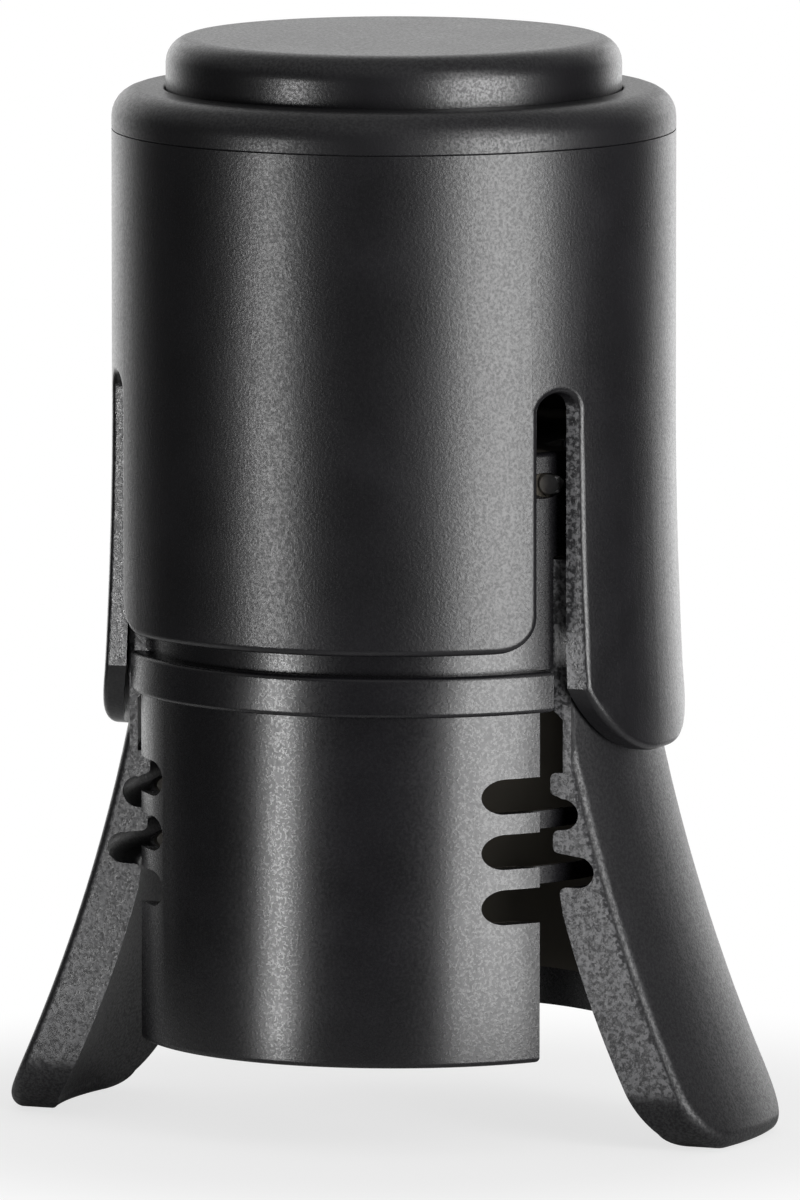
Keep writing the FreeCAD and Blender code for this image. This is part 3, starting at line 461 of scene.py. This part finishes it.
ROUND_STEPS = 192
turning, tree, given = new_group(
    "turned_piece", [("Steps", "NodeSocketInt", ROUND_STEPS), ("Finish", "NodeSocketMaterial", None)]
)
outline = given["Geometry"]
columns = tree.node("GeometryNodeAttributeDomainSize", {"component": "MESH"}, {"Geometry": outline})
rows = given["Steps"] + 1.0
grid = tree.node(
    "GeometryNodeMeshGrid", {}, {"Size X": 1.0, "Size Y": 1.0, "Vertices X": columns, "Vertices Y": rows}
)
index = tree.node("GeometryNodeInputIndex")
column = index.maths("FLOOR", index / rows)
row = index - column * rows
angle = row * (2 * math.pi) / given["Steps"]
outline_place = tree.node(
    "GeometryNodeSampleIndex",
    {"data_type": "FLOAT_VECTOR", "domain": "POINT"},
    {"Geometry": outline, "Value": tree.node("GeometryNodeInputPosition"), "Index": column},
)
reach = tree.part(outline_place, "X")
turned_place = tree.node(
    "ShaderNodeCombineXYZ",
    {},
    {
        "X": reach * angle.maths("COSINE", angle),
        "Y": reach * angle.maths("SINE", angle),
        "Z": tree.part(outline_place, "Z"),
    },
)
turned = tree.node("GeometryNodeSetPosition", {}, {"Geometry": grid, "Position": turned_place})
welded = tree.node("GeometryNodeMergeByDistance", {}, {"Geometry": turned, "Distance": WELD})
end_group(turning, tree, welded, given["Finish"])

# %% [markdown]
# ## From an outline to a finished piece
#
# The outline is written in millimetres, corner by corner, and a corner may have a round. The modifier's
# inputs are set by their identifiers before the object is first evaluated. Then the result is taken as a
# plain mesh, and the modifier goes away with its helper.

# %% Rounded outlines and the finished mesh

ARC_STEPS = 7


def rounded_outline(corners):
    """Corner points (reach, height, radius) as a chain in which each radius is a true arc."""
    chain = []
    for number, (x, z, radius) in enumerate(corners):
        here = Vector((x, z))
        if not radius:
            chain.append(here)
            continue
        before = (Vector(corners[number - 1][:2]) - here).normalized()
        after = (Vector(corners[(number + 1) % len(corners)][:2]) - here).normalized()
        half = before.angle(after) / 2
        start = here + before * (radius / math.tan(half))
        centre = here + (before + after).normalized() * (radius / math.sin(half))
        turn = 1 if before.x * after.y - before.y * after.x < 0 else -1
        sweep = turn * (math.pi - 2 * half)
        arm = start - centre
        for step in range(ARC_STEPS + 1):
            chain.append(centre + Matrix.Rotation(sweep * step / ARC_STEPS, 2) @ arm)
    return chain


def grown(name, mesh, group, values, place=Matrix()):
    """Runs a tree on a helper object and gives the result as a plain object at the origin."""
    helper = bpy.data.objects.new(name + "_helper", mesh)
    bpy.context.scene.collection.objects.link(helper)
    modifier = helper.modifiers.new(group.name, "NODES")
    modifier.node_group = group
    for item in group.interface.items_tree:
        if item.in_out == "INPUT" and item.name in values:
            modifier[item.identifier] = values[item.name]
    bpy.context.view_layer.update()
    evaluated = helper.evaluated_get(bpy.context.evaluated_depsgraph_get())
    result = bpy.data.meshes.new_from_object(evaluated)
    helper.modifiers.clear()
    bpy.data.objects.remove(helper)
    result.name = name
    result.transform(place)
    smooth(result, turn_outward)
    return placed(name, result)


def turned_piece(name, corners, finish):
    chain = rounded_outline(corners)
    mesh = bpy.data.meshes.new(name + "_outline")
    mesh.from_pydata([(p.x * MM, 0, p.y * MM) for p in chain + chain[:1]], [], [])
    return grown(name, mesh, turning, {"Steps": ROUND_STEPS, "Finish": finish})


print("each round has", ARC_STEPS, "steps, each turn", ROUND_STEPS)

# %% [markdown]
# ## The cover disc
#
# The round pad on top is pressed into a recess of the cap. A fine seam shows at its foot, where its own
# small round meets the cap's, and its upper edge is well rounded for the palm. It is a shell, open below.

# %% Turn the cover disc

DISC_WALL = 1.7
DISC_ROUND = 2.0
DISC_FOOT_ROUND = 0.15
low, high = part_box("cover_disc")
DISC_REACH = high[0] / MM
DISC_FOOT = low[2] / MM
DISC_TOP = high[2] / MM
disc = turned_piece(
    "cover_disc_turned",
    [
        (0.0, DISC_TOP, 0),
        (DISC_REACH, DISC_TOP, DISC_ROUND),
        (DISC_REACH, DISC_FOOT, DISC_FOOT_ROUND),
        (DISC_REACH - DISC_WALL, DISC_FOOT, 0),
        (DISC_REACH - DISC_WALL, DISC_TOP - DISC_WALL, 0),
        (0.0, DISC_TOP - DISC_WALL, 0),
    ],
    disc_black,
)
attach(disc, "sleeve")
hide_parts("cover_disc")

# %% [markdown]
# ## The cap
#
# The cap closes the sleeve. Its shoulder has a large round outside, a small one at the disc's recess and
# a finer one at the parting, so that the line between cap and sleeve reads as two edges that meet. Below,
# a spigot centres the sleeve, and a post with a hole for the screw goes down through the cup.

# %% Turn the cap

SHOULDER_ROUND = 2.2
RECESS_ROUND = 0.25
PARTING_ROUND = 0.16
RECESS_GAP = 0.08
WEB = 2.7
SPIGOT_INSET = 1.09
SPIGOT_DEPTH = 2.2
SPIGOT_WALL = 1.2
SPIGOT_ROUND = 0.2
POST = 3.2
POST_FLARE = 1.5
SCREW_HOLE = 1.5
SCREW_DEPTH = 8.0
low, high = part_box("cap")
CAP_REACH = high[0] / MM
SHOULDER = high[2] / MM
POST_FOOT = low[2] / MM
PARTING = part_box("sleeve")[1][2] / MM
RECESS = DISC_REACH + RECESS_GAP
SPIGOT = CAP_REACH - SPIGOT_INSET
WEB_TOP = DISC_FOOT
WEB_UNDER = WEB_TOP - WEB
cap = turned_piece(
    "cap_turned",
    [
        (0.0, WEB_TOP, 0),
        (RECESS, WEB_TOP, 0),
        (RECESS, SHOULDER, RECESS_ROUND),
        (CAP_REACH, SHOULDER, SHOULDER_ROUND),
        (CAP_REACH, PARTING, PARTING_ROUND),
        (SPIGOT, PARTING, 0),
        (SPIGOT, WEB_UNDER - SPIGOT_DEPTH, SPIGOT_ROUND),
        (SPIGOT - SPIGOT_WALL, WEB_UNDER - SPIGOT_DEPTH, SPIGOT_ROUND),
        (SPIGOT - SPIGOT_WALL, WEB_UNDER, 0),
        (POST + POST_FLARE, WEB_UNDER, 0),
        (POST, WEB_UNDER - POST_FLARE, 0),
        (POST, POST_FOOT, 0),
        (SCREW_HOLE, POST_FOOT, 0),
        (SCREW_HOLE, POST_FOOT + SCREW_DEPTH, 0),
        (0.0, POST_FOOT + SCREW_DEPTH, 0),
    ],
    cap_black,
)
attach(cap, "sleeve")
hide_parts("cap")

# %% [markdown]
# ## The wing springs
#
# A torsion spring is wire wound by a rule: so many coils, at one pitch and one radius, with a leg at each
# end. The tree draws the coil with the spiral node and the upper leg as a line, gives both the same round
# section, and caps the ends.

# %% A tree that winds a spring

COIL = 1.6 * MM
WIRE = 0.25 * MM
COIL_LENGTH = 3.15 * MM
COILS = 4.5
COIL_STEPS = 28
WIRE_SIDES = 12
UPPER_LEG = 2.5 * MM
LOWER_LEG = 6.65 * MM
LEG_GAP = 0.06 * MM
WIRE_INPUTS = [("Coil Radius", "NodeSocketFloat", COIL), ("Wire Radius", "NodeSocketFloat", WIRE)]
FINISH_INPUT = [("Finish", "NodeSocketMaterial", None)]


def straight(tree, x, start, end, z):
    """A straight strand along Y."""
    ends = [tree.node("ShaderNodeCombineXYZ", {}, {"X": x, "Y": y, "Z": z}) for y in (start, end)]
    return tree.node("GeometryNodeCurvePrimitiveLine", {}, {"Start": ends[0], "End": ends[1]})


def as_wire(tree, curve, radius):
    """Gives a strand its round section and closes its ends."""
    section = tree.node(
        "GeometryNodeCurvePrimitiveCircle", {}, {"Resolution": WIRE_SIDES, "Radius": radius}
    )
    sockets = {"Curve": curve, "Profile Curve": section, "Fill Caps": True}
    return tree.node("GeometryNodeCurveToMesh", {}, sockets)


sizes = [
    ("Length", "NodeSocketFloat", COIL_LENGTH),
    ("Coils", "NodeSocketFloat", COILS),
    ("Upper Leg", "NodeSocketFloat", UPPER_LEG),
]
winding, tree, given = new_group("torsion_spring", WIRE_INPUTS + sizes + FINISH_INPUT)
coil = tree.node(
    "GeometryNodeCurveSpiral",
    {},
    {
        "Resolution": COIL_STEPS,
        "Rotations": given["Coils"],
        "Start Radius": given["Coil Radius"],
        "End Radius": given["Coil Radius"],
        "Height": given["Length"],
    },
)
upper_leg = straight(tree, -1.0 * given["Coil Radius"], 0.0, given["Upper Leg"], given["Length"])
joined = winding.nodes.new("GeometryNodeJoinGeometry")
for strand in (coil, upper_leg):
    winding.links.new(strand.socket, joined.inputs[0])
wire = as_wire(tree, Wire(tree, joined.outputs[0]), given["Wire Radius"])
end_group(winding, tree, wire, given["Finish"])

# %% [markdown]
# ## The lower leg of a spring
#
# The lower leg pushes the wing open and turns with it. So a second, smaller tree draws it as a piece of
# its own, which rides on the wing, while the coil stays with the cup.

# %% A tree that draws the lower leg

sizes = [("Leg", "NodeSocketFloat", LOWER_LEG), ("Gap", "NodeSocketFloat", LEG_GAP)]
leg_drawing, tree, given = new_group("spring_leg", WIRE_INPUTS + sizes + FINISH_INPUT)
leg_line = straight(tree, given["Coil Radius"], -1.0 * given["Leg"], -1.0 * given["Gap"], 0.0)
end_group(leg_drawing, tree, as_wire(tree, leg_line, given["Wire Radius"]), given["Finish"])

# %% [markdown]
# ## Springs on their pins
#
# The coil is wound along Z. So it is centred, laid along Y, turned to its side and set on the pin of its
# wing.

# %% Set both springs on their pins

for side, turn in (("right", 0.0), ("left", math.pi)):
    pin_low, pin_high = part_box("hinge_pin_" + side)
    hinge = (Vector(pin_low) + Vector(pin_high)) / 2
    place = (
        Matrix.Translation(hinge)
        @ Matrix.Rotation(turn, 4, "Z")
        @ Matrix.Rotation(math.pi / 2, 4, "X")
        @ Matrix.Translation((0, 0, -COIL_LENGTH / 2))
    )
    name = "wing_spring_" + side
    finish = {"Finish": bright_steel}
    spring = grown(name + "_wound", bpy.data.meshes.new(name), winding, finish, place)
    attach(spring, "cup")
    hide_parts("wing_spring_" + side)
    leg = grown(name + "_lower_leg", bpy.data.meshes.new(name), leg_drawing, finish, place)
    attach(leg, "wing_" + side)

# %% [markdown]
# ## The floor
#
# Black gloss shows its surroundings, so a wide white floor would spoil it: the front of the sleeve would
# mirror the floor. The floor is a small round sheet that keeps the stopper's shadow and fades into the
# white behind it.

# %% Lay the floor

AZIMUTH = math.radians(21.75)
ELEVATION = math.radians(7.2)
FLOOR = 70.0 * MM
FLOOR_LEVEL = -0.05 * MM
FADE = (30.0 * MM, 66.0 * MM)
SHADOW_SHARE = 0.28
FLOOR_SIDES = 96
PAPER = (0.80, 0.80, 0.80, 1)
WHITE = (1, 1, 1, 1)


def away(azimuth, elevation=0.0):
    """The direction from the object to a place round it; azimuth 0 is -Y and turns towards +X."""
    level = math.cos(elevation)
    return Vector((math.sin(azimuth) * level, -math.cos(azimuth) * level, math.sin(elevation)))


floor_shell = bmesh.new()
bmesh.ops.create_circle(floor_shell, cap_ends=True, segments=FLOOR_SIDES, radius=FLOOR)
floor_mesh = bpy.data.meshes.new("floor")
floor_shell.to_mesh(floor_mesh)
floor_shell.free()
floor_mesh.transform(Matrix.Translation((0, 0, FLOOR_LEVEL)))
floor = bpy.data.objects.new("floor", floor_mesh)
bpy.context.scene.collection.objects.link(floor)
floor_white, tree = new_material("floor_white")
place = tree.node("ShaderNodeTexCoord", output="Object")
distance = tree.node("ShaderNodeVectorMath", {"operation": "LENGTH"}, {0: place}, output="Value")
fade = (1.0 - SHADOW_SHARE) + distance.step(*FADE) * SHADOW_SHARE
paper = tree.node("ShaderNodeBsdfDiffuse", {}, {"Color": PAPER})
glow = tree.node("ShaderNodeEmission", {}, {"Color": WHITE, "Strength": 1.0})
seen = tree.node("ShaderNodeLightPath", output="Is Camera Ray")
end_material(floor_white, tree, tree.node("ShaderNodeMixShader", {}, {0: seen * fade, 1: paper, 2: glow}))
floor_mesh.materials.append(floor_white)

# %% [markdown]
# ## The backdrop
#
# The surroundings are white behind the stopper, which brightens its flat top and its rims, and nearly dark
# around the camera, which keeps its front black. Some light comes from above. The camera itself sees plain
# white.

# %% Light the world

FRONT_LIGHT = 0.05
BACK_LIGHT = 0.95
SKY_LIGHT = 0.40
BEHIND_EDGE = (0.50, 0.98)
UPWARD_EDGE = (0.1, 0.9)

world = bpy.data.worlds.new("studio")
bpy.context.scene.world = world
world.use_nodes = True
world.node_tree.nodes.clear()
tree = Tree(world.node_tree)
look = tree.node("ShaderNodeTexCoord", output="Generated")
behind = tree.node(
    "ShaderNodeVectorMath", {"operation": "DOT_PRODUCT"}, {0: look, 1: tuple(-away(AZIMUTH))}, output="Value"
).step(*BEHIND_EDGE)
upward = tree.part(look, "Z").step(*UPWARD_EDGE)
seen = tree.node("ShaderNodeLightPath", output="Is Camera Ray")
strength = FRONT_LIGHT + behind * BACK_LIGHT + upward * SKY_LIGHT
strength = strength + seen * (1.0 - strength)
light = tree.node("ShaderNodeBackground", {}, {"Color": WHITE, "Strength": strength})
tree.node("ShaderNodeOutputWorld", {}, {"Surface": light})
print("world made with", len(world.node_tree.nodes), "nodes")

# %% [markdown]
# ## The lamps
#
# Two soft boxes in front draw the two bands down the sleeve: a wide one on the right, a narrow one on the
# left. Each stands where its mirror image falls on the band, so twice as far round as the band itself. A
# dim one above lights the shoulder, and two behind light the rims and the back.

# %% Place the lamps

LAMP_DISTANCE = 0.9
LAMP_AIM = 42.0 * MM


def soft_box(name, azimuth, elevation, width, tall, power):
    """A rectangular lamp, its size in metres and its power in watts. azimuth and elevation are in degrees,
    the azimuth from the camera's."""
    lamp = bpy.data.lights.new(name, "AREA")
    lamp.shape = "RECTANGLE"
    lamp.size = width
    lamp.size_y = tall
    lamp.energy = power
    box = bpy.data.objects.new(name, lamp)
    bpy.context.scene.collection.objects.link(box)
    direction = away(AZIMUTH + math.radians(azimuth), math.radians(elevation))
    box.location = Vector((0, 0, LAMP_AIM)) + direction * LAMP_DISTANCE
    box.rotation_mode = "QUATERNION"
    box.rotation_quaternion = direction.to_track_quat("Z", "Y")
    print(name, "at", [round(v, 2) for v in box.location], "m,", power, "W")


soft_box("right_lamp", 45, -3, 0.60, 0.62, 12.0)
soft_box("left_lamp", -51.5, -7, 0.14, 0.20, 2.3)
soft_box("upper_lamp", 40, 30, 0.34, 0.30, 1.5)
soft_box("back_right_lamp", 152, 2, 0.50, 0.50, 1.1)
soft_box("back_left_lamp", -156, 2, 0.50, 0.50, 0.7)

# %% [markdown]
# ## The camera
#
# The photograph looks slightly down on the object from the front right, from far away. The image is
# 800 by 1200, so the height sets the field of view: 92.3 mm at the object.

# %% Set up the camera

DISTANCE = 1.5
VIEW_TALL = 92.3 * MM
SENSOR = 36.0
AIM_HEIGHT = 40.3 * MM
AIM_ASIDE = 0.47 * MM
CLIP_START, CLIP_END = 0.05, 20.0
camera_data = bpy.data.cameras.new("camera")
camera_data.sensor_width = SENSOR
camera_data.lens = SENSOR * DISTANCE / VIEW_TALL
camera_data.clip_start = CLIP_START
camera_data.clip_end = CLIP_END
camera = bpy.data.objects.new("camera", camera_data)
bpy.context.scene.collection.objects.link(camera)
right = Vector((math.cos(AZIMUTH), math.sin(AZIMUTH), 0))
target = right * AIM_ASIDE + Vector((0, 0, AIM_HEIGHT))
camera.location = target + away(AZIMUTH, ELEVATION) * DISTANCE
camera.rotation_mode = "QUATERNION"
camera.rotation_quaternion = away(AZIMUTH, ELEVATION).to_track_quat("Z", "Y")
bpy.context.scene.camera = camera
bpy.context.scene.view_settings.view_transform = "Standard"
print("lens", round(camera_data.lens), "mm at", DISTANCE, "m")
